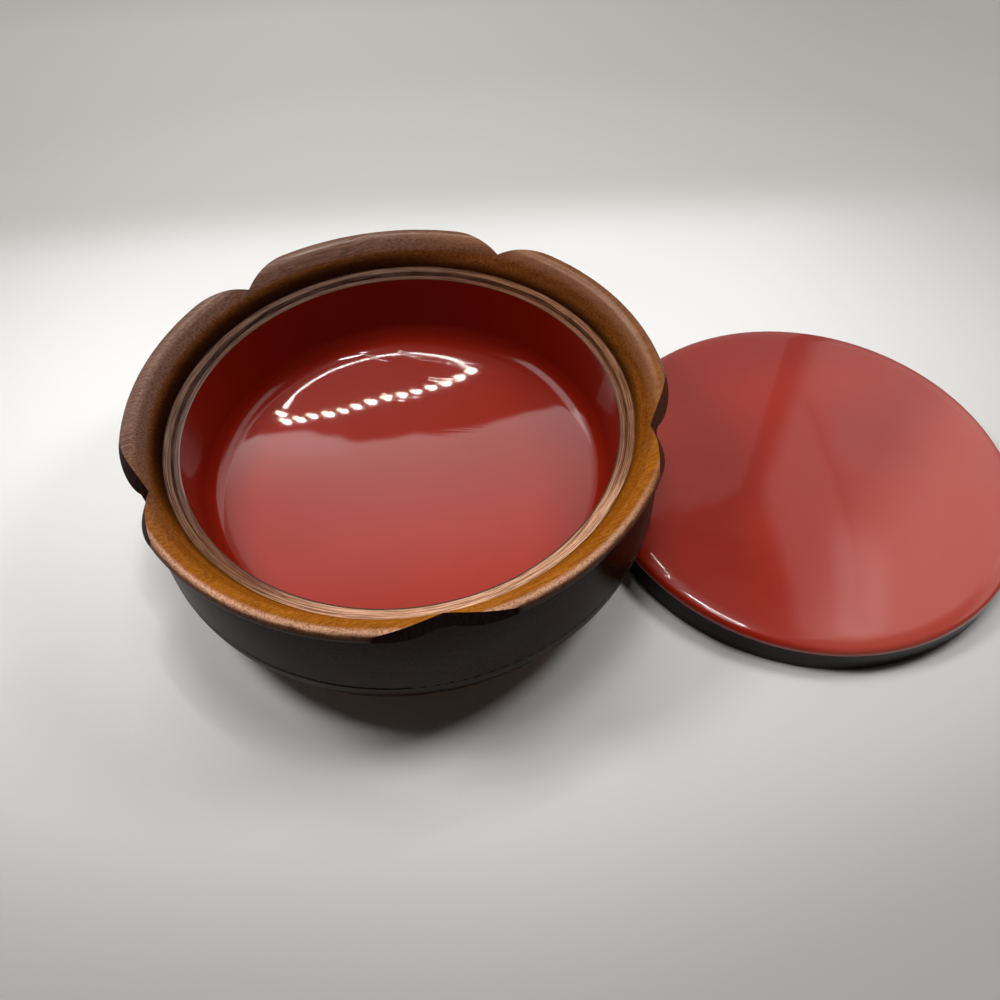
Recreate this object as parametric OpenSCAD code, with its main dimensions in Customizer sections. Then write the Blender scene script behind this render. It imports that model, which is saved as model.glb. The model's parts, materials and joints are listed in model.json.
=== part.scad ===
// A turned wooden covered bowl, cut as a five-petalled blossom, with a flat lacquered lid.
// The bowl stands on its foot with its axis on Z.
// The lid lies beside it on +X, with its edge tucked under the belly.
// Lengths are in millimetres and turns are in degrees.

/* [Rim] */
// Diameter over the rolled lip
lip_d = 231; // [215:1:245]
// Height of the rim's crest above the table
bowl_h = 83; // [78:0.5:90]
// Radius of the lip's outer roll
lip_r = 4; // [3.2:0.1:4.4]
// Radius on which the cove turns over into the lip
crest_r = 4.5; // [3.6:0.1:5.4]
// How far the outer roll turns under, below the level
lip_under = 110; // [95:1:120]
// Width of the rim, from the outermost line of the lip to the outer edge of the seat
rim_w = 14.6; // [13:0.1:16.5]
// Depth of the cove, from the crest to the seat
cove_h = 14.3; // [12.5:0.1:16]
// Fillet where the cove meets the seat
cove_fillet_r = 1.5; // [0.8:0.1:2.2]

/* [Lid seat] */
// Width of the upper step, which the lid lies on
upper_step_w = 2.6; // [2.2:0.1:4]
// Level run of the slanted riser between the two steps
riser_run = 0.6; // [0.3:0.1:1]
// Height of the riser
step_drop = 2.2; // [1.2:0.1:3.4]
// Width of the lower step, beside the red inside
lower_step_w = 2.7; // [1.6:0.1:4]

/* [Inside] */
// Height of the inside floor at the axis
floor_h = 16; // [13:0.5:20]
// How far the dished floor rises towards the turn into the wall
dish_lift = 13; // [9:0.5:16]
// Radius of the turn
corner_r = 12; // [8:0.5:18]
// Outward lean of the inside wall
wall_lean = 4.5; // [3:0.5:8]
// Thickness of a coat of lacquer
coat_t = 0.6; // [0.4:0.1:0.8]

/* [Outside] */
// How far the neck lies inside the outermost line of the lip
neck_inset = 6.2; // [5.4:0.1:7]
// How far the neck lies below the crest
neck_drop = 10; // [9.4:0.1:11.4]
// How far the belly stands out past the neck
belly_swell = 4.3; // [2.5:0.1:6.5]
// Height of the widest line of the belly
belly_h = 36; // [33:0.5:40]
// Radius of the profile just below the widest line
belly_round_r = 25; // [20:0.5:30]
// Height of that stretch, down to the tight turn
turn_drop = 9.5; // [7:0.5:12]
// Radius of the tight turn into the underside
turn_r = 6.5; // [4:0.5:9]
// Height of the upper turned line above the widest line
upper_line_rise = 1.4; // [0.8:0.1:6]
// Depth of the lower turned line below the widest line
lower_line_drop = 5.2; // [3:0.1:6.5]
// Radius of the tool mark that the upper line is
upper_line_r = 0.6; // [0.3:0.05:0.8]
// Radius of the tool mark that the lower line is
lower_line_r = 0.35; // [0.25:0.05:0.6]

/* [Foot] */
// Outside diameter of the foot ring
foot_d = 140; // [125:1:150]
// Height of the foot ring
foot_h = 7; // [5.5:0.5:9]
// Width of the foot ring
foot_w = 8; // [6:0.5:12]
// Depth of the hollow inside the foot ring
foot_hollow = 3; // [2:0.1:3.8]
// Rounding of the ring's two lower edges
foot_edge_r = 1; // [0.6:0.1:1.6]

/* [Notches] */
// Depth of a notch, in from the outermost line of the lip
notch_depth = 9.3; // [8:0.1:10.5]
// Radius of a petal's corner beside a notch, at the level of the lip's roll
petal_corner_r = 42; // [34:0.5:50]
// Slope of the cut faces from the upright
notch_slope = 26; // [20:0.5:32]
// Depth of the wide fifth notch
wide_notch_depth = 6.9; // [5.8:0.1:8]
// Radius of the petals' corners beside the wide notch
wide_corner_r = 52; // [44:0.5:60]
// Slope of the wide notch's cut faces from the upright
wide_notch_slope = 8; // [5:0.5:14]
// How far the petals' corners cut into the lip's roll
notch_bite = 0.25; // [0.2:0.05:0.5]
// Direction of the first notch, counted from the lid's side
notch_1_turn = -12.2; // [-16:0.1:-8]
// Direction of the second notch
notch_2_turn = 63.3; // [58:0.1:68]
// Direction of the third notch
notch_3_turn = 132.8; // [128:0.1:140]
// Direction of the fourth notch
notch_4_turn = 203.5; // [198:0.1:210]
// Direction of the wide fifth notch
notch_5_turn = 279.2; // [274:0.1:284]

/* [Lid] */
// Play all round between the lid and the outer edge of its seat
lid_play = 0.8; // [0.5:0.1:1.5]
// Height of the lid's black side
lid_side_h = 12.6; // [11:0.1:14]
// Radius of the lid's rounded red edge
lid_edge_r = 3; // [2.2:0.1:4]
// Radius of the soft shoulder between the lid's top and its rounded edge
lid_shoulder_r = 26; // [20:1:32]
// Slope of the shoulder where the rounded edge takes over
lid_shoulder_slope = 15; // [12:0.5:18]
// Rise of the lid's top above its shoulder
lid_crown = 0.8; // [0.6:0.1:1.6]
// Depth of the hollow in the lid's underside
lid_hollow = 3; // [2:0.1:3.8]
// Width of the ring that the lid stands on
lid_ring_w = 12; // [8:0.5:16]
// Rounding of the lid's lower edge
lid_foot_r = 1; // [0.9:0.1:1.6]
// Gap between the lid's edge and the bowl's underside where the lid lies
lid_rest_gap = 0.85; // [0.5:0.05:3]

/* [Hidden] */
$fn = 144;

// Overrun of a cut past the surface that it cuts
overrun = 2;
// Straight pieces in a broad sweep, in the lip's roll and in a small rounding
broad_pieces = 20;
lip_pieces = 24;
small_pieces = 6;

// Rim and seat
lip_out_r = lip_d / 2;
lip_centre = [lip_out_r - lip_r, bowl_h - lip_r];
crest_centre = [lip_out_r - lip_r, bowl_h - crest_r];
seat_r = lip_out_r - rim_w;
seat_h = bowl_h - cove_h;
step_r = seat_r - upper_step_w;
lower_step_r = step_r - riser_run;
lower_seat_h = seat_h - step_drop;
mouth_r = lower_step_r - lower_step_w;

// The cove's wall runs from the seat's outer edge up to touch the crest's circle
cove_run = crest_centre - [seat_r, seat_h];
cove_turn = atan2(cove_run.y, cove_run.x) + asin(crest_r / norm(cove_run));
fillet_centre = [seat_r - cove_fillet_r * tan(cove_turn / 2), seat_h + cove_fillet_r];

// The wall takes up the height that the dish and the turn leave, and the turn touches both
mouth_point = [mouth_r, lower_seat_h];
wall_down = [-sin(wall_lean), -cos(wall_lean)];
wall_in = [-cos(wall_lean), sin(wall_lean)];
wall_drop = lower_seat_h - floor_h - dish_lift - corner_r * (1 - sin(wall_lean));
wall_run = wall_drop / cos(wall_lean);
corner_centre = mouth_point + wall_run * wall_down + corner_r * wall_in;
dish_reach = pow(corner_centre.x, 2) + pow(corner_r + dish_lift, 2) - pow(corner_r, 2);
dish_r = dish_reach / (2 * dish_lift);
dish_centre = [0, floor_h + dish_r];
corner_from_dish = corner_centre - dish_centre;
corner_turn = atan2(corner_from_dish.y, corner_from_dish.x);

// The outside swells from the neck to the belly and turns in to the foot
neck = [lip_out_r - neck_inset, bowl_h - neck_drop];
belly_r = neck.x + belly_swell;
side_rise = neck.y - belly_h;
side_r = (pow(belly_swell, 2) + pow(side_rise, 2)) / (2 * belly_swell);
side_centre = [belly_r - side_r, belly_h];
side_turn = asin(side_rise / side_r);
round_centre = [belly_r - belly_round_r, belly_h];
round_turn = asin(turn_drop / belly_round_r);
turn_centre = at(round_centre, belly_round_r - turn_r, -round_turn);
foot_r = foot_d / 2;
foot_top = [foot_r, foot_h];
under_run = turn_centre - foot_top;
under_turn = atan2(under_run.y, under_run.x) - asin(turn_r / norm(under_run));

// The fifth notch is the wide one
notch_turns = [notch_1_turn, notch_2_turn, notch_3_turn, notch_4_turn];

// The lid's top is a shallow crown that touches its shoulder, which touches the rounded edge
lid_r = seat_r - lid_play;
lid_edge_centre = [lid_r - lid_edge_r, lid_side_h];
lid_edge_turn = 90 - lid_shoulder_slope;
shoulder_centre = at(lid_edge_centre, lid_edge_r - lid_shoulder_r, lid_edge_turn);
crown_rise = lid_shoulder_r + lid_crown;
crown_reach = pow(shoulder_centre.x, 2) + pow(crown_rise, 2) - pow(lid_shoulder_r, 2);
crown_r = crown_reach / (2 * lid_crown);
crown_centre = [0, shoulder_centre.y + crown_rise - crown_r];
crown_turn = 90 - asin(shoulder_centre.x / (crown_r - lid_shoulder_r));
lid_hollow_r = lid_r - lid_ring_w;

// The lid is pushed in under the belly until its rounded edge all but meets the underside
tuck_rise = (lid_edge_r + lid_rest_gap) / cos(under_turn) + lid_side_h - foot_h;
tuck_r = foot_r + tuck_rise / tan(under_turn);
lid_x = tuck_r + lid_edge_centre.x;

// Point at a distance and a turn from a centre
function at(centre, r, turn) = centre + r * [cos(turn), sin(turn)];

// Points along an arc, without its first point
function arc_on(centre, r, start, end, pieces) =
    [for (i = [1:pieces]) at(centre, r, start + (end - start) * i / pieces)];

// Points along an arc, with both ends
function arc(centre, r, start, end, pieces) =
    concat([at(centre, r, start)], arc_on(centre, r, start, end, pieces));

function reversed(points) = [for (i = [len(points) - 1:-1:0]) points[i]];

// Radius of the outside at a height near the belly
function side_at(h) =
    let (centre = h > belly_h ? side_centre : round_centre)
    let (r = h > belly_h ? side_r : belly_round_r)
    centre.x + sqrt(pow(r, 2) - pow(h - belly_h, 2));

// The inside from its mouth down to the axis, moved outward by a coat
function inside(coat) = concat(
    [[mouth_r + coat / cos(wall_lean), lower_seat_h]],
    arc(corner_centre, corner_r + coat, -wall_lean, corner_turn, broad_pieces),
    arc_on(dish_centre, dish_r + coat, corner_turn, -90, broad_pieces)
);

// Half section of the bowl's wood, from the hollow of the foot round the lip to the floor
function bowl_outline() = concat(
    [[0, foot_hollow], [foot_r - foot_w, foot_hollow]],
    arc([foot_r - foot_w + foot_edge_r, foot_edge_r], foot_edge_r, 180, 270, small_pieces),
    arc([foot_r - foot_edge_r, foot_edge_r], foot_edge_r, -90, 0, small_pieces),
    [foot_top],
    arc(turn_centre, turn_r, under_turn - 90, -round_turn, small_pieces),
    arc_on(round_centre, belly_round_r, -round_turn, 0, small_pieces),
    arc_on(side_centre, side_r, 0, side_turn, small_pieces),
    arc(lip_centre, lip_r, -lip_under, 90, lip_pieces),
    arc_on(crest_centre, crest_r, 90, cove_turn + 90, small_pieces),
    arc(fillet_centre, cove_fillet_r, cove_turn - 90, -90, small_pieces),
    [[step_r, seat_h], [lower_step_r, lower_seat_h]],
    inside(coat_t)
);

// The lid's top, shoulder and rounded edge, from the axis outward, moved inward by a coat
function lid_top(coat) = concat(
    arc(crown_centre, crown_r - coat, 90, crown_turn, broad_pieces),
    arc_on(shoulder_centre, lid_shoulder_r - coat, crown_turn, lid_edge_turn, broad_pieces),
    arc_on(lid_edge_centre, lid_edge_r - coat, lid_edge_turn, 0, small_pieces)
);

// The lid's side and underside down to the axis, moved inward by a coat
function lid_under(coat) = concat(
    arc([lid_r - lid_foot_r, lid_foot_r], lid_foot_r - coat, 0, -90, small_pieces),
    [[lid_hollow_r + coat, coat], [lid_hollow_r + coat, lid_hollow + coat], [0, lid_hollow + coat]]
);

module turned(outline) {
    rotate_extrude() polygon(outline);
}

// A turned line round the belly
module turned_line(h, r) {
    rotate_extrude() translate([side_at(h), h]) circle(r);
}

// Distance from the axis at which a petal corner's cone cuts into the lip's roll
function petal_centre(corner_r, slope) = lip_centre.x + (lip_r + notch_bite) / cos(slope) - corner_r;

// Turn from the middle of a notch to the centre of the petal corner beside it
function petal_turn(depth, corner_r, slope) =
    let (apex_r = lip_out_r - depth)
    let (centre_r = petal_centre(corner_r, slope))
    acos((pow(centre_r, 2) + pow(apex_r, 2) - pow(corner_r, 2)) / (2 * centre_r * apex_r));

// A petal corner is a cone, wider lower down
module petal_corner(turn, corner_r, slope) {
    low = seat_h - overrun;
    high = bowl_h + overrun + overrun;
    low_r = corner_r + (lip_centre.y - low) * tan(slope);
    high_r = corner_r + (lip_centre.y - high) * tan(slope);
    rotate(turn) translate([petal_centre(corner_r, slope), 0, low])
        cylinder(h = high - low, r1 = low_r, r2 = high_r);
}

// The wood between two petal corners, which the knife takes out of the rim
module notch(depth, corner_r, slope) {
    turn = petal_turn(depth, corner_r, slope);
    reach = (lip_out_r + overrun) / cos(turn);
    difference() {
        translate([0, 0, seat_h]) linear_extrude(height = bowl_h + overrun - seat_h)
            polygon([
                at([0, 0], seat_r, -turn),
                at([0, 0], reach, -turn),
                at([0, 0], reach, turn),
                at([0, 0], seat_r, turn)
            ]);
        petal_corner(-turn, corner_r, slope);
        petal_corner(turn, corner_r, slope);
    }
}

module bowl_body() {
    color([0.19, 0.10, 0.06]) difference() {
        turned(bowl_outline());
        turned_line(belly_h + upper_line_rise, upper_line_r);
        turned_line(belly_h - lower_line_drop, lower_line_r);
        for (turn = notch_turns) rotate(turn) notch(notch_depth, petal_corner_r, notch_slope);
        rotate(notch_5_turn) notch(wide_notch_depth, wide_corner_r, wide_notch_slope);
    }
}

module bowl_lining() {
    color([0.50, 0.08, 0.05]) turned(concat(inside(0), reversed(inside(coat_t))));
}

module lid_core() {
    color([0.45, 0.32, 0.20]) translate([lid_x, 0, 0])
        turned(concat(lid_top(coat_t), lid_under(coat_t)));
}

module lid_top_coat() {
    color([0.60, 0.16, 0.12]) translate([lid_x, 0, 0])
        turned(concat(lid_top(0), reversed(lid_top(coat_t))));
}

module lid_under_coat() {
    side_top = [lid_r, lid_side_h];
    inner_side_top = [lid_r - coat_t, lid_side_h];
    color([0.08, 0.05, 0.05]) translate([lid_x, 0, 0])
        turned(concat([side_top], lid_under(0), reversed(lid_under(coat_t)), [inner_side_top]));
}

bowl_body();
bowl_lining();
lid_core();
lid_top_coat();
lid_under_coat();
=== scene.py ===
import json
import math
import random

import bpy
from mathutils import Matrix, Vector

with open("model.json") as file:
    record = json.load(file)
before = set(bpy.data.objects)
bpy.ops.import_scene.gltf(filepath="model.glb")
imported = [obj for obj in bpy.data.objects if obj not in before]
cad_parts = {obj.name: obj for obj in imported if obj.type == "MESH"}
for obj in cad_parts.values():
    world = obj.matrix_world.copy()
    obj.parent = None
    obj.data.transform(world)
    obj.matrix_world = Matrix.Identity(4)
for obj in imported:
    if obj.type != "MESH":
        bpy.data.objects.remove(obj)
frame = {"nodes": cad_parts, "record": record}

scene = bpy.context.scene
nodes = frame["nodes"]
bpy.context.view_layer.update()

# Places in the part's source, in millimetres: the lid's centre, the bowl's seat, its crest and its widest line
LID_X = 190.49
SEAT_H = 68.7
SEAT_R = 101.6
CREST_H = 83.0
BELLY_H = 36.0


# Shader node graphs

class Graph:
    def __init__(self, tree):
        self.tree = tree
        tree.nodes.clear()

    def node(self, kind, inputs=None, **settings):
        made = self.tree.nodes.new(kind)
        for name, value in settings.items():
            setattr(made, name, value)
        for key, value in (inputs or {}).items():
            self.put(made.inputs[key], value)
        return made

    def put(self, socket, value):
        if isinstance(value, bpy.types.NodeSocket):
            self.tree.links.new(value, socket)
        else:
            socket.default_value = value

    def math(self, operation, a, b=0.0):
        return self.node("ShaderNodeMath", {0: a, 1: b}, operation=operation).outputs[0]

    def add(self, a, b):
        return self.math("ADD", a, b)

    def sub(self, a, b):
        return self.math("SUBTRACT", a, b)

    def mul(self, a, b):
        return self.math("MULTIPLY", a, b)

    def product(self, first, *others):
        for value in others:
            first = self.mul(first, value)
        return first

    def vector(self, operation, a, b=(0, 0, 0)):
        made = self.node("ShaderNodeVectorMath", {0: a, 1: b}, operation=operation)
        return made.outputs["Value" if operation == "LENGTH" else "Vector"]

    def scaled(self, a, factors):
        return self.vector("MULTIPLY", a, factors)

    def split(self, a):
        return self.node("ShaderNodeSeparateXYZ", {0: a}).outputs

    def join(self, x, y, z=0.0):
        return self.node("ShaderNodeCombineXYZ", {0: x, 1: y, 2: z}).outputs[0]

    # A smooth step from start at low to end at high, and a straight one
    def ease(self, value, low, high, start=0.0, end=1.0):
        made = self.node("ShaderNodeMapRange", {0: value, 1: low, 2: high, 3: start, 4: end},
                         interpolation_type="SMOOTHSTEP")
        return made.outputs[0]

    def line(self, value, low, high, start=0.0, end=1.0):
        return self.node("ShaderNodeMapRange", {0: value, 1: low, 2: high, 3: start, 4: end}).outputs[0]

    def noise(self, where, detail=2.0, roughness=0.5):
        made = self.node("ShaderNodeTexNoise",
                         {"Vector": where, "Scale": 1.0, "Detail": detail, "Roughness": roughness,
                          "Distortion": 0.0})
        return made.outputs[0]

    def mix(self, factor, a, b):
        made = self.node("ShaderNodeMix", data_type="RGBA")
        self.put(made.inputs[0], factor)
        self.put(made.inputs[6], a)
        self.put(made.inputs[7], b)
        return made.outputs[2]

    def tint(self, factor, colour, tone):
        return self.mix(factor, colour, (*tone, 1.0))

    def blend(self, factor, a, b):
        made = self.node("ShaderNodeMix", data_type="FLOAT")
        self.put(made.inputs[0], factor)
        self.put(made.inputs[2], a)
        self.put(made.inputs[3], b)
        return made.outputs[0]

    def ramp(self, value, stops):
        made = self.node("ShaderNodeValToRGB", {0: value})
        row = made.color_ramp.elements
        while len(row) < len(stops):
            row.new(0.5)
        for element, (place, tone) in zip(row, stops):
            element.position = place
            element.color = (*tone, 1.0)
        return made.outputs[0]


def rgb(r, g, b):
    return (r, g, b, 1.0)


def material(name):
    made = bpy.data.materials.new(name)
    made.use_nodes = True
    return made, Graph(made.node_tree)


def millimetres(g, centre=(0, 0, 0)):
    place = g.node("ShaderNodeTexCoord").outputs["Object"]
    return g.vector("SUBTRACT", g.scaled(place, (1000, 1000, 1000)), centre)


def surface(g, **sockets):
    shader = g.node("ShaderNodeBsdfPrincipled")
    for name, value in sockets.items():
        g.put(shader.inputs[name.replace("_", " ")], value)
    out = g.node("ShaderNodeOutputMaterial")
    g.tree.links.new(shader.outputs[0], out.inputs[0])
    return shader


def bump(g, height, distance):
    return g.node("ShaderNodeBump", {"Height": height, "Distance": distance, "Strength": 1.0}).outputs[0]


# Dark turned wood: amber in the cove, nearly black outside, dull and lined on the lid's seat

def grain(g, p):
    turned = g.node("ShaderNodeVectorRotate", {"Vector": p, "Angle": math.radians(-24)}, rotation_type="Z_AXIS")
    p = turned.outputs[0]
    drift = g.noise(g.scaled(p, (0.006, 0.02, 0.02)), detail=3.0)
    x, y, z = g.split(p)
    rings = g.vector("LENGTH", g.join(g.add(y, 52.0), g.add(z, 150.0)))
    rings = g.add(rings, g.mul(drift, 26.0))
    wave = g.noise(g.join(g.mul(rings, 0.34), g.mul(x, 0.004)), detail=3.0, roughness=0.6)
    fibre = g.noise(g.scaled(p, (0.05, 1.3, 1.3)), detail=4.0, roughness=0.62)
    pores = g.noise(g.scaled(p, (0.22, 3.1, 3.1)), detail=2.0, roughness=0.6)
    fleck = g.noise(g.scaled(p, (0.5, 0.9, 0.9)), detail=4.0, roughness=0.7)
    return wave, fibre, pores, fleck, drift


class Wood:
    # Coordinates, grain and masks that the tones of the bowl's wood share
    def __init__(self, g):
        self.g = g
        p = millimetres(g)
        self.x, self.y, self.z = x, y, z = g.split(p)
        self.r = r = g.vector("LENGTH", g.join(x, y))
        wave, self.fibre, pores, self.fleck, drift = grain(g, p)
        self.streak = g.add(g.mul(wave, 0.26), g.add(g.mul(self.fibre, 0.42), g.mul(self.fleck, 0.40)))
        self.grit = g.noise(g.scaled(p, (1.3, 1.3, 1.3)), detail=2.0, roughness=0.6)
        self.pores = g.ease(pores, 0.36, 0.30)
        swirl = g.noise(g.join(g.mul(x, 0.05), g.mul(y, 0.05), g.mul(r, 2.6)), detail=4.0, roughness=0.7)
        fine = g.noise(g.join(g.mul(x, 0.10), g.mul(y, 0.10), g.mul(r, 7.5)), detail=2.0, roughness=0.6)
        self.lines = g.add(g.mul(swirl, 0.65), g.mul(fine, 0.35))
        self.knife = g.noise(g.scaled(p, (0.7, 0.7, 0.12)), detail=3.0, roughness=0.6)

        # The outside starts on the lip's round, along a slightly ragged edge
        round_lip = g.sub(g.sub(r, 110.6), g.mul(g.sub(z, CREST_H - 4.0), 0.9))
        ragged = g.mul(g.sub(g.noise(g.scaled(p, (0.18, 0.18, 0.6)), detail=4.0), 0.5), 2.4)
        self.outside = g.ease(g.add(round_lip, ragged), 0.4, 2.6)

        # The seat's two steps, and the knife-cut faces, which look along the rim
        self.seat = g.mul(g.ease(z, SEAT_H + 1.0, SEAT_H + 0.15), g.ease(r, SEAT_R, SEAT_R - 0.7))
        self.lower_step = g.ease(z, SEAT_H - 1.1, SEAT_H - 1.7)
        nx, ny, nz = g.split(g.node("ShaderNodeTexCoord").outputs["Normal"])
        across = g.math("DIVIDE", g.sub(g.mul(nx, y), g.mul(ny, x)), r)
        self.cut = g.mul(g.ease(g.math("ABSOLUTE", across), 0.03, 0.08), g.ease(z, SEAT_H + 0.1, SEAT_H + 0.7))

        # Painted light and shade: golden where light falls, towards the viewer's side, and painted shade on the
        # left and behind
        facing = g.add(g.sub(g.mul(x, 0.30), g.mul(y, 0.95)), g.mul(g.sub(drift, 0.5), 90.0))
        self.painted_lit_side = g.ease(facing, -30.0, 92.0)
        self.painted_shade_side = g.ease(g.sub(g.mul(y, 0.6), g.mul(x, 0.8)), 15.0, 80.0)


def cove_tone(w):
    g, y, z, r = w.g, w.y, w.z, w.r
    amber = g.ramp(w.streak, [(0.36, (0.125, 0.031, 0.0028)), (0.47, (0.235, 0.066, 0.0050)),
                              (0.58, (0.350, 0.112, 0.0090)), (0.72, (0.520, 0.200, 0.020))])
    brown = g.ramp(w.streak, [(0.34, (0.048, 0.0135, 0.0030)), (0.47, (0.098, 0.0290, 0.0062)),
                              (0.60, (0.165, 0.0520, 0.0110)), (0.76, (0.255, 0.0920, 0.0220))])
    # A lit amber copy and a shaded brown copy of the stain, mixed by the painted light side
    colour = g.mix(w.painted_lit_side, brown, amber)

    # Painted shade at the cove's foot; rubbed paler on the crest, in a lit and a shaded copy
    foot_shade = g.mul(g.ease(z, SEAT_H + 5.8, SEAT_H + 0.8), g.blend(w.painted_lit_side, 0.90, 0.75))
    colour = g.mix(foot_shade, colour, g.mix(w.painted_lit_side, rgb(0.0050, 0.0004, 0.0002), rgb(0.085, 0.026, 0.0035)))
    worn = g.product(g.ease(z, CREST_H - 2.2, CREST_H - 0.2), g.ease(w.fibre, 0.30, 0.62, 0.25, 0.75), 0.22)
    colour = g.mix(worn, colour, g.mix(w.painted_lit_side, rgb(0.150, 0.070, 0.038), rgb(0.200, 0.078, 0.026)))

    # A painted highlight as a speckled pale line on the front's outer round, and a painted highlight on the
    # slope behind
    rolled_highlight = g.product(g.ease(r, 111.8, 113.6), g.ease(y, -35.0, -100.0), g.ease(w.grit, 0.36, 0.60, 0.45, 1.0))
    colour = g.tint(g.mul(rolled_highlight, 0.85), colour, (0.860, 0.490, 0.320))
    slope_highlight = g.product(g.ease(r, 104.6, 108.2), g.ease(r, 111.6, 109.2, 0.15, 1.0), g.ease(y, -60.0, 50.0),
                      g.ease(w.streak, 0.38, 0.60, 0.55, 1.0))
    colour = g.tint(g.mul(slope_highlight, 0.75), colour, (0.310, 0.150, 0.085))

    # On the painted shade side: a dusky plum tone with painted sheen above, and painted shade nearly black
    # below
    dusky_shade = g.product(w.painted_shade_side, g.ease(z, 75.0, 78.5), g.ease(r, 115.0, 113.6), 0.75)
    plum = g.mix(g.ease(w.fibre, 0.35, 0.62), rgb(0.085, 0.044, 0.034), rgb(0.185, 0.108, 0.082))
    colour = g.mix(dusky_shade, colour, plum)
    colour = g.tint(g.product(w.painted_shade_side, g.ease(z, 77.5, 72.5), 0.88), colour, (0.0085, 0.0020, 0.0012))

    colour = g.tint(g.mul(g.ease(w.grit, 0.42, 0.30), 0.35), colour, (0.060, 0.018, 0.004))
    return g.tint(g.mul(w.pores, 0.6), colour, (0.030, 0.010, 0.004))


def outside_tone(w):
    g, z = w.g, w.z
    umber = g.ramp(w.streak, [(0.34, (0.0070, 0.0020, 0.0005)), (0.55, (0.0210, 0.0062, 0.0012)),
                              (0.78, (0.0620, 0.0200, 0.0040))])
    # Painted reflection: a paler grey below the widest line, where the gloss mirrors the floor
    umber = g.tint(g.ease(z, BELLY_H + 3.5, BELLY_H - 0.5, 0.0, 0.7), umber, (0.046, 0.028, 0.020))
    umber = g.tint(g.ease(z, 70.0, 76.0, 0.0, 0.4), umber, (0.050, 0.014, 0.006))
    roll = g.mul(g.ease(z, CREST_H - 4.5, CREST_H - 1.5), g.ease(w.fleck, 0.35, 0.65, 0.3, 0.8))
    return g.tint(roll, umber, (0.230, 0.085, 0.036))


def seat_tone(w):
    g, x, y, z, lines = w.g, w.x, w.y, w.z, w.lines
    grey = g.ramp(lines, [(0.38, (0.030, 0.0135, 0.0075)), (0.50, (0.158, 0.068, 0.033)),
                          (0.62, (0.300, 0.152, 0.082))])
    pink = g.ramp(lines, [(0.38, (0.050, 0.016, 0.008)), (0.52, (0.155, 0.062, 0.034)),
                          (0.64, (0.270, 0.125, 0.074))])
    dull = g.mix(w.lower_step, grey, pink)
    # Painted shade on the seat towards the back and the left
    behind = g.ease(g.sub(g.mul(x, 0.75), g.mul(y, 0.65)), 20.0, -80.0, 0.0, 0.45)
    dull = g.tint(behind, dull, (0.040, 0.019, 0.013))
    # Painted highlight on the seat's fine lines at the right
    beside_highlight = g.mul(g.ease(x, 30.0, 95.0, 0.0, 0.40), g.ease(lines, 0.40, 0.60))
    dull = g.tint(beside_highlight, dull, (0.360, 0.165, 0.090))
    # Painted shade on the riser between the seat's steps
    riser_shade = g.product(g.ease(z, SEAT_H - 0.1, SEAT_H - 0.4), g.ease(z, SEAT_H - 2.1, SEAT_H - 1.8), 0.5)
    dull = g.tint(riser_shade, dull, (0.030, 0.014, 0.009))
    # A cooler grey shaded copy of the seat, on the painted shade side
    cool = g.mix(g.ease(lines, 0.40, 0.60), rgb(0.018, 0.012, 0.010), rgb(0.150, 0.112, 0.095))
    dull = g.mix(g.mul(w.painted_shade_side, 0.45), dull, cool)
    # Painted highlight on the seat's fine lines in front
    seat_highlight = g.mul(g.ease(g.sub(g.mul(x, 0.35), y), 55.0, 100.0), 0.75)
    highlight_tone = g.mix(g.ease(lines, 0.42, 0.58), rgb(0.24, 0.11, 0.055), rgb(0.96, 0.56, 0.37))
    return g.mix(seat_highlight, dull, highlight_tone)


def cut_tone(w):
    g = w.g
    sliced = g.ramp(w.knife, [(0.36, (0.0040, 0.0009, 0.0004)), (0.64, (0.0290, 0.0062, 0.0028))])
    # Painted light: the cut faces paler towards the right
    return g.tint(g.ease(w.x, 60.0, 105.0, 0.0, 0.6), sliced, (0.105, 0.036, 0.018))


def dark_wood():
    made, g = material("dark_wood")
    w = Wood(g)
    colour = g.mix(w.outside, cove_tone(w), outside_tone(w))
    colour = g.mix(w.seat, colour, seat_tone(w))
    colour = g.mix(w.cut, colour, cut_tone(w))

    rough = g.blend(w.outside, g.ease(w.fleck, 0.3, 0.7, 0.26, 0.36), g.ease(w.fibre, 0.3, 0.7, 0.24, 0.34))
    rough = g.blend(w.seat, rough, g.ease(w.lines, 0.35, 0.65, 0.34, 0.52))
    rough = g.blend(w.cut, rough, 0.40)

    relief = g.add(g.mul(w.fibre, 0.5), g.mul(g.sub(0.0, w.pores), 0.6))
    relief = g.blend(w.seat, relief, g.mul(w.lines, 3.2))
    relief = g.blend(w.cut, relief, g.mul(w.knife, 2.0))
    grained = bump(g, relief, 0.00004)

    # The lacquer over the stain: thickest on the rim's round in front and on the slope behind
    front = g.ease(w.r, 111.6, 113.4)
    behind = g.mul(g.ease(w.r, 106.0, 109.0), g.ease(w.r, 112.6, 109.6, 0.35, 0.8))
    sheen = g.mul(g.blend(g.ease(w.y, -50.0, 60.0), front, behind), 0.75)
    sheen = g.blend(w.outside, sheen, 0.33)
    sheen = g.blend(w.seat, sheen, 0.13)
    sheen = g.blend(w.cut, sheen, 0.09)
    surface(g, Base_Color=colour, Roughness=rough, Specular_IOR_Level=0.0, Coat_Weight=sheen,
            Coat_Roughness=0.17, Normal=grained, Coat_Normal=grained)
    return made


# Lacquer: a pigmented ground under a clear, still surface

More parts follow.
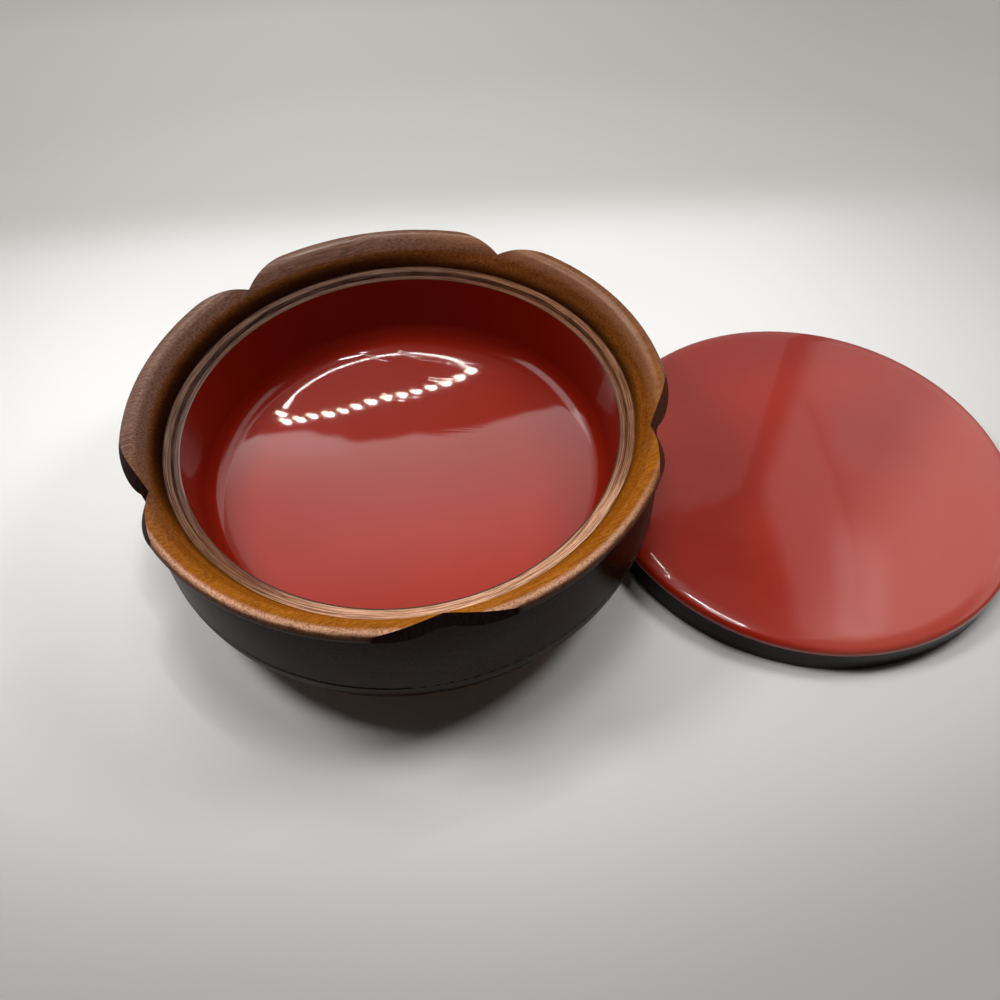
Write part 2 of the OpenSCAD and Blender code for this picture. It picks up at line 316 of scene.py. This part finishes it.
def bowl_lacquer():
    made, g = material("red_lacquer")
    p = millimetres(g)
    x, y, z = g.split(p)
    cloud = g.noise(g.scaled(p, (0.012, 0.012, 0.012)), detail=3.0)
    colour = g.ramp(cloud, [(0.3, (0.295, 0.0130, 0.0030)), (0.7, (0.345, 0.0170, 0.0040))])

    # Painted shade: deeper behind, up the wall and at the right; bare wood at the very edge
    colour = g.tint(g.ease(y, -30.0, 78.0, 0.0, 0.50), colour, (0.125, 0.0040, 0.0012))
    colour = g.tint(g.ease(z, 26.0, 37.0, 0.0, 0.55), colour, (0.085, 0.0025, 0.0008))
    colour = g.tint(g.ease(x, 48.0, 88.0, 0.0, 0.35), colour, (0.190, 0.0070, 0.0018))
    colour = g.tint(g.ease(z, 66.05, 66.3), colour, (0.070, 0.034, 0.020))

    turned = g.node("ShaderNodeVectorRotate", {"Vector": p, "Angle": math.radians(12)}, rotation_type="Z_AXIS")
    wiped = g.noise(g.scaled(turned.outputs[0], (0.022, 0.33, 0.1)), detail=3.0, roughness=0.55)
    patch = g.ease(g.noise(g.scaled(p, (0.018, 0.018, 0.018)), detail=1.0), 0.48, 0.66)
    marks = g.mul(g.ease(wiped, 0.56, 0.74), patch)
    specks = g.ease(g.noise(g.scaled(p, (0.55, 0.55, 0.55)), detail=1.0), 0.80, 0.84)
    swell = g.noise(g.scaled(p, (0.035, 0.035, 0.035)), detail=1.0)
    relief = g.add(g.mul(swell, 0.2), g.add(g.mul(marks, 0.10), g.mul(specks, 0.25)))
    normal = bump(g, relief, 0.00006)
    surface(g, Base_Color=colour, Roughness=g.add(0.32, g.mul(marks, 0.12)), Specular_IOR_Level=0.12,
            Coat_Weight=0.9, Coat_Roughness=0.035, Normal=normal, Coat_Normal=normal)
    return made


def lid_lacquer():
    made, g = material("lid_red_lacquer")
    p = millimetres(g, (LID_X, 0, 0))
    x, y, z = g.split(p)
    cloud = g.noise(g.scaled(p, (0.012, 0.012, 0.02)), detail=3.0)
    colour = g.ramp(cloud, [(0.3, (0.275, 0.0115, 0.0026)), (0.7, (0.340, 0.0140, 0.0030))])
    # Painted reflection: paler pink towards the front right; painted shade: deeper red towards the back
    colour = g.tint(g.ease(g.sub(x, g.mul(y, 0.8)), 25.0, 80.0, 0.0, 0.55), colour, (0.50, 0.090, 0.066))
    colour = g.tint(g.ease(g.sub(y, g.mul(x, 0.3)), 45.0, 85.0, 0.0, 0.5), colour, (0.20, 0.0060, 0.0014))
    smudge = g.noise(g.scaled(p, (0.045, 0.045, 0.045)), detail=4.0, roughness=0.65)
    specks = g.ease(g.noise(g.scaled(p, (0.5, 0.5, 0.5)), detail=1.0), 0.79, 0.83)
    swell = g.noise(g.scaled(p, (0.024, 0.024, 0.024)), detail=2.0)
    relief = g.add(g.mul(swell, 0.9), g.add(g.mul(smudge, 0.12), g.mul(specks, 0.25)))
    normal = bump(g, relief, 0.00006)
    surface(g, Base_Color=colour, Roughness=g.ease(smudge, 0.35, 0.68, 0.28, 0.42), Specular_IOR_Level=0.3,
            Coat_Weight=0.85, Coat_Roughness=0.06, Normal=normal, Coat_Normal=normal)
    return made


def black_lacquer():
    made, g = material("black_lacquer")
    p = millimetres(g, (LID_X, 0, 0))
    x, y, z = g.split(p)
    r = g.vector("LENGTH", g.join(x, y))
    cloud = g.noise(g.scaled(p, (0.03, 0.03, 0.08)), detail=3.0)
    colour = g.ramp(cloud, [(0.3, (0.0075, 0.0050, 0.0050)), (0.7, (0.0150, 0.0095, 0.0090))])
    turned = g.noise(g.join(g.mul(x, 0.01), g.mul(y, 0.01), g.add(g.mul(r, 0.6), g.mul(z, 0.9))), detail=3.0)
    blotch = g.noise(g.scaled(p, (0.12, 0.12, 0.12)), detail=4.0)
    rubbed = g.mul(g.ease(z, 1.4, 0.2), g.ease(blotch, 0.45, 0.62))
    colour = g.tint(g.mul(rubbed, 0.55), colour, (0.050, 0.030, 0.022))
    normal = bump(g, g.add(turned, g.mul(cloud, 0.5)), 0.00005)
    rough = g.add(g.ease(turned, 0.3, 0.7, 0.16, 0.24), g.mul(rubbed, 0.2))
    surface(g, Base_Color=colour, Roughness=rough, Specular_IOR_Level=0.08, Normal=normal)
    return made


def bare_wood():
    made, g = material("bare_wood")
    p = millimetres(g, (LID_X, 0, 0))
    wave, fibre = grain(g, p)[:2]
    tone = g.add(g.mul(wave, 0.6), g.mul(fibre, 0.4))
    colour = g.ramp(tone, [(0.3, (0.24, 0.13, 0.06)), (0.7, (0.52, 0.36, 0.21))])
    surface(g, Base_Color=colour, Roughness=g.ease(fibre, 0.3, 0.7, 0.5, 0.65),
            Normal=bump(g, fibre, 0.00004))
    return made


made_materials = {
    "dark_wood": dark_wood(),
    "red_lacquer": bowl_lacquer(),
    "lid_red_lacquer": lid_lacquer(),
    "black_lacquer": black_lacquer(),
    "bare_wood": bare_wood(),
}
slots = {row["node"]: row["material_slot"] for row in frame["record"]["subparts"]}
for name, piece in nodes.items():
    for slot in piece.material_slots:
        slot.material = made_materials[slots[name]]


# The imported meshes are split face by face: join their points for shading and keep the true edges

JOIN_DISTANCE = 0.000004
SHARP_DEGREES = 24


def smooth_modifier(degrees):
    tree = bpy.data.node_groups.new("smooth_turned", "GeometryNodeTree")
    tree.interface.new_socket("Geometry", in_out="INPUT", socket_type="NodeSocketGeometry")
    tree.interface.new_socket("Geometry", in_out="OUTPUT", socket_type="NodeSocketGeometry")
    g = Graph(tree)
    start = g.node("NodeGroupInput")
    joined = g.node("GeometryNodeMergeByDistance", {"Geometry": start.outputs[0], "Distance": JOIN_DISTANCE})
    smooth = g.node("GeometryNodeSetShadeSmooth", {0: joined.outputs[0], 2: True}, domain="FACE")
    bend = g.node("GeometryNodeInputMeshEdgeAngle").outputs[0]
    sharp = g.node("FunctionNodeCompare", {0: bend, 1: math.radians(degrees)}, data_type="FLOAT",
                   operation="GREATER_THAN").outputs[0]
    crisp = g.node("GeometryNodeSetShadeSmooth", {0: smooth.outputs[0], 1: sharp, 2: False}, domain="EDGE")
    out = g.node("NodeGroupOutput")
    tree.links.new(crisp.outputs[0], out.inputs[0])
    return tree


smoothing = smooth_modifier(SHARP_DEGREES)
for piece in nodes.values():
    if piece.data.has_custom_normals:
        piece.data.attributes.remove(piece.data.attributes["custom_normal"])
    piece.modifiers.new("smooth_turned", "NODES").node_group = smoothing


# Floor: a painted pool of light, pale round the bowl and deeper away from it, and painted light pale again far
# behind

BACKGROUND = rgb(0.80, 0.79, 0.77)
FLOOR_HALF = 4.0


def floor_material():
    made, g = material("studio_floor")
    p = millimetres(g)
    x, y, z = g.split(p)
    cloud = g.noise(g.scaled(p, (0.004, 0.004, 0.004)), detail=2.0)
    near_tone = g.ramp(cloud, [(0.3, (0.875, 0.865, 0.845)), (0.7, (0.905, 0.897, 0.882))])
    # Painted pool of light: the floor darkens away from the bowl
    away = g.vector("LENGTH", g.join(g.mul(g.sub(x, 10.0), 0.7), g.sub(y, 110.0)))
    near_tone = g.tint(g.ease(away, 110.0, 310.0, 0.0, 0.70), near_tone, (0.42, 0.412, 0.40))
    near_tone = g.tint(g.ease(away, 268.0, 345.0, 0.0, 0.50), near_tone, (0.30, 0.292, 0.28))
    # Painted light far behind, brighter further back and towards the left
    lift = g.mul(g.line(y, 250, 542), g.line(x, -100, 350, 1.0, 0.55))
    far_tone = g.mix(lift, rgb(0.52, 0.50, 0.47), rgb(0.94, 0.91, 0.865))
    colour = g.mix(g.mul(g.ease(y, 205, 285), 0.72), near_tone, far_tone)
    fine = g.noise(g.scaled(p, (0.35, 0.35, 0.35)), detail=3.0)
    plain = surface(g, Base_Color=colour, Roughness=0.45, Specular_IOR_Level=0.4,
                    Normal=bump(g, g.add(fine, g.mul(cloud, 4.0)), 0.00006))

    # Far from the object, the camera sees the floor fade into the background
    distant = g.ease(g.vector("LENGTH", g.join(x, y)), 640.0, 1350.0)
    seen = g.node("ShaderNodeLightPath").outputs["Is Camera Ray"]
    pale = g.node("ShaderNodeEmission", {"Color": BACKGROUND})
    both = g.node("ShaderNodeMixShader", {0: g.mul(distant, seen), 1: plain.outputs[0], 2: pale.outputs[0]})
    g.tree.links.new(both.outputs[0], g.tree.nodes["Material Output"].inputs[0])
    return made


mesh = bpy.data.meshes.new("studio_floor")
corners = [(-FLOOR_HALF, -FLOOR_HALF, 0), (FLOOR_HALF, -FLOOR_HALF, 0),
           (FLOOR_HALF, FLOOR_HALF, 0), (-FLOOR_HALF, FLOOR_HALF, 0)]
mesh.from_pydata(corners, [], [(0, 1, 2, 3)])
floor = bpy.data.objects.new("studio_floor", mesh)
scene.collection.objects.link(floor)
mesh.materials.append(floor_material())


# Lamps

WARM_WHITE = (1.0, 0.985, 0.96)


def area_lamp(name, place, size, watts, colour=(1, 1, 1), aim=None, size_y=None, glossy=True):
    data = bpy.data.lights.new(name, "AREA")
    data.shape = "RECTANGLE" if size_y else "DISK"
    data.size = size
    if size_y:
        data.size_y = size_y
    data.energy = watts
    data.color = colour
    lamp = bpy.data.objects.new(name, data)
    lamp.location = place
    if aim is not None:
        lamp.rotation_euler = (Vector(aim) - Vector(place)).to_track_quat("-Z", "Y").to_euler()
    lamp.visible_camera = False
    lamp.visible_glossy = glossy
    scene.collection.objects.link(lamp)
    return lamp


# A loop of small lamps, high behind the bowl: its path is chosen so that the dish mirrors it as photographed

LOOP_HEIGHT = 1.2
LOOP_PATH = [(-221, 427), (-180, 373), (-103, 326), (-70, 319), (-22, 319), (24, 334), (66, 354), (101, 382),
             (147, 448), (173, 541), (173, 580), (156, 598), (117, 567), (64, 545), (-19, 495), (-102, 473),
             (-168, 455), (-209, 438)]
NEAR_START = 9
STEPS_PER_SPAN = 24
FAR_STEP, NEAR_STEP = 12.0, 33.0
FAR_SIZE, NEAR_SIZE = 0.0070, 0.015
LED_GLOW = 110.0


def loop_points():
    count = len(LOOP_PATH)
    for i in range(count):
        p0, p1, p2, p3 = (Vector(LOOP_PATH[(i + k) % count]) for k in (-1, 0, 1, 2))
        for j in range(STEPS_PER_SPAN):
            t = j / STEPS_PER_SPAN
            point = 0.5 * (2 * p1 + (p2 - p0) * t + (2 * p0 - 5 * p1 + 4 * p2 - p3) * t * t
                           + (3 * p1 - p0 - 3 * p2 + p3) * t ** 3)
            yield point, i >= NEAR_START


def lamp_loop():
    dice = random.Random(7)
    walked, last, count = 0.0, None, 0
    for point, near in loop_points():
        if last is not None:
            walked += (point - last).length
        last = point
        step = NEAR_STEP if near else FAR_STEP
        if walked < step:
            continue
        walked -= step
        size = (NEAR_SIZE if near else FAR_SIZE) * dice.uniform(0.85, 1.15)
        watts = LED_GLOW * math.pi * math.pi * size * size / 4
        place = (point.x / 1000, point.y / 1000, LOOP_HEIGHT)
        area_lamp("led_%02d" % count, place, size, watts, colour=(1.0, 0.97, 0.92))
        count += 1
        if near:
            beside_highlight = (place[0] + 0.011, place[1] - 0.006, LOOP_HEIGHT)
            area_lamp("led_%02d" % count, beside_highlight, size * 0.7, watts * 0.35, colour=(1.0, 0.86, 0.62))
            count += 1


lamp_loop()


# Four soft lamps that gloss doesn't mirror: they light the whole and throw the floor's shadows

area_lamp("key_back", (0.0, 0.43, 1.19), 0.50, 1.05, colour=WARM_WHITE, size_y=0.24, glossy=False)
area_lamp("key_left", (-0.34, 0.03, 0.62), 0.17, 2.15, aim=(-0.14, -0.02, 0.0), glossy=False)
area_lamp("key_right", (0.44, 0.08, 0.59), 0.18, 1.45, aim=(0.16, -0.04, 0.0), glossy=False)
area_lamp("key_top", (0.02, 0.02, 0.85), 0.18, 1.25, glossy=False)


# Two strips that the dish mirrors at its right

def strip(name, start, end, width, glow):
    a, b = Vector(start), Vector(end)
    length = (b - a).length
    lamp = area_lamp(name, (a + b) / 2, length, glow * math.pi * length * width, size_y=width)
    lamp.rotation_euler = (0, 0, math.atan2(b.y - a.y, b.x - a.x))


strip("strip_a", (0.060, 0.215, LOOP_HEIGHT), (0.224, 0.008, LOOP_HEIGHT), 0.028, 60.0)
strip("strip_b", (0.075, 0.090, LOOP_HEIGHT), (0.150, -0.075, LOOP_HEIGHT), 0.014, 45.0)


# A pale card behind the bowl that only gloss mirrors: brighter upwards, dim at its right

CARD_WIDTH, CARD_HEIGHT = 0.79, 0.49
CARD_X, CARD_Y, CARD_Z = -0.105, 0.262, 0.265
CARD_GLOW = 2.9


def back_card():
    watts = CARD_GLOW * math.pi * CARD_WIDTH * CARD_HEIGHT
    card = area_lamp("back_card", (CARD_X, CARD_Y, CARD_Z), CARD_WIDTH, watts, aim=(CARD_X, 0.0, CARD_Z),
                     size_y=CARD_HEIGHT)
    card.visible_diffuse = False
    card.data.use_nodes = True
    g = Graph(card.data.node_tree)
    x, y, z = g.split(g.node("ShaderNodeNewGeometry").outputs["Position"])
    ripple = g.mul(g.sub(g.noise(g.join(g.mul(x, 19.0), 3.0), detail=2.0), 0.5), 0.16)
    edge = g.add(g.line(x, 0.0, 0.25, 0.462, 0.408), g.ease(x, -0.035, -0.065, 0.0, -0.028))
    edge = g.add(edge, ripple)
    level = g.line(z, 0.20, 0.45, 0.10, 1.0)
    level = g.mul(level, g.blend(g.ease(x, -0.03, 0.012), 1.0, g.line(z, 0.27, 0.43, 0.35, 1.30)))
    level = g.blend(g.ease(x, 0.03, 0.13), level, 0.13)
    fade = g.mul(level, g.ease(g.sub(z, edge), 0.010, -0.006))
    shine = g.node("ShaderNodeEmission", {"Strength": fade})
    out = g.node("ShaderNodeOutputLight")
    card.data.node_tree.links.new(shine.outputs[0], out.inputs[0])


back_card()


# Studio walls, as the world's light by direction: azimuth from straight behind the bowl, and elevation

def window(g, value, low, high, soft):
    return g.mul(g.ease(value, low - soft, low + soft), g.ease(value, high + soft, high - soft))


def studio_world():
    world = bpy.data.worlds.new("studio")
    scene.world = world
    world.use_nodes = True
    g = Graph(world.node_tree)
    x, y, z = g.split(g.node("ShaderNodeTexCoord").outputs["Generated"])
    az = g.mul(g.math("ARCTAN2", x, y), 180 / math.pi)
    el = g.mul(g.math("ARCSINE", z), 180 / math.pi)
    ray = g.node("ShaderNodeLightPath").outputs
    mirrored = ray["Is Glossy Ray"]

    back = g.mul(window(g, az, -62, 50, 10), window(g, el, -10, 50, 8))
    left = g.mul(window(g, az, -106, -50, 4), window(g, el, 30, 50, 4))
    right = g.mul(window(g, az, 56, 101, 4), window(g, el, 31, 47, 4))

    # A wall at the right of the back, with a slanting top, a seam and a brighter patch
    side_top = g.add(51.0, g.mul(g.sub(az, 29.0), 0.8))
    side = g.product(g.ease(az, 27.2, 29.0), g.ease(az, 70.0, 50.0), g.ease(g.sub(el, side_top), 1.2, -1.2),
                     g.ease(el, 5.0, 30.0))
    off_seam = g.math("ABSOLUTE", g.sub(az, g.add(31.0, g.mul(g.sub(el, 44.0), 1.15))))
    seam = g.product(g.ease(off_seam, 0.9, 0.2), g.ease(el, 40.0, 43.0), 0.45)
    side = g.mul(side, g.sub(1.0, seam))
    leaning = g.sub(az, g.mul(g.sub(el, 53.0), 0.9))
    patch = g.mul(window(g, leaning, 38.5, 45.0, 1.4), window(g, el, 50.5, 59.0, 2.0))
    side = g.add(g.mul(side, 0.95), g.mul(patch, 1.1))

    sides = g.mul(g.blend(mirrored, 0.12, 1.0), g.add(g.mul(left, 2.4), g.mul(right, 1.1)))
    level = g.add(0.02, g.mul(side, g.blend(mirrored, 0.4, 1.0)))
    level = g.add(g.add(level, g.mul(back, g.blend(mirrored, 0.08, 0.16))), sides)
    lit = g.node("ShaderNodeBackground", {"Color": rgb(*WARM_WHITE), "Strength": level})
    seen = g.node("ShaderNodeBackground", {"Color": BACKGROUND, "Strength": 1.0})
    both = g.node("ShaderNodeMixShader", {0: ray["Is Camera Ray"], 1: lit.outputs[0], 2: seen.outputs[0]})
    out = g.node("ShaderNodeOutputWorld")
    world.node_tree.links.new(both.outputs[0], out.inputs[0])


studio_world()


# Camera, fitted to the photographed circles of the rim, the seat and the lid

CAMERA_PLACE = (0.0326, -0.2602, 0.3470)
CAMERA_PITCH = math.radians(52.8)
CAMERA_YAW = math.radians(2.08)
CAMERA_ROLL = -0.029
CAMERA_LENS = 31.32


def camera_turn(pitch, yaw, roll):
    ahead = Vector((math.sin(yaw) * math.cos(pitch), math.cos(yaw) * math.cos(pitch), -math.sin(pitch)))
    level_right = Vector((math.cos(yaw), -math.sin(yaw), 0))
    level_up = level_right.cross(ahead)
    right_way = level_right * math.cos(roll) + level_up * math.sin(roll)
    up_way = level_up * math.cos(roll) - level_right * math.sin(roll)
    return Matrix((right_way, up_way, -ahead)).transposed().to_4x4()


view = bpy.data.cameras.new("camera")
view.sensor_width = 36.0
view.lens = CAMERA_LENS
view.clip_start = 0.01
view.clip_end = 50.0
camera = bpy.data.objects.new("camera", view)
camera.matrix_world = Matrix.Translation(CAMERA_PLACE) @ camera_turn(CAMERA_PITCH, CAMERA_YAW, CAMERA_ROLL)
scene.collection.objects.link(camera)
scene.camera = camera

scene.view_settings.view_transform = "Standard"
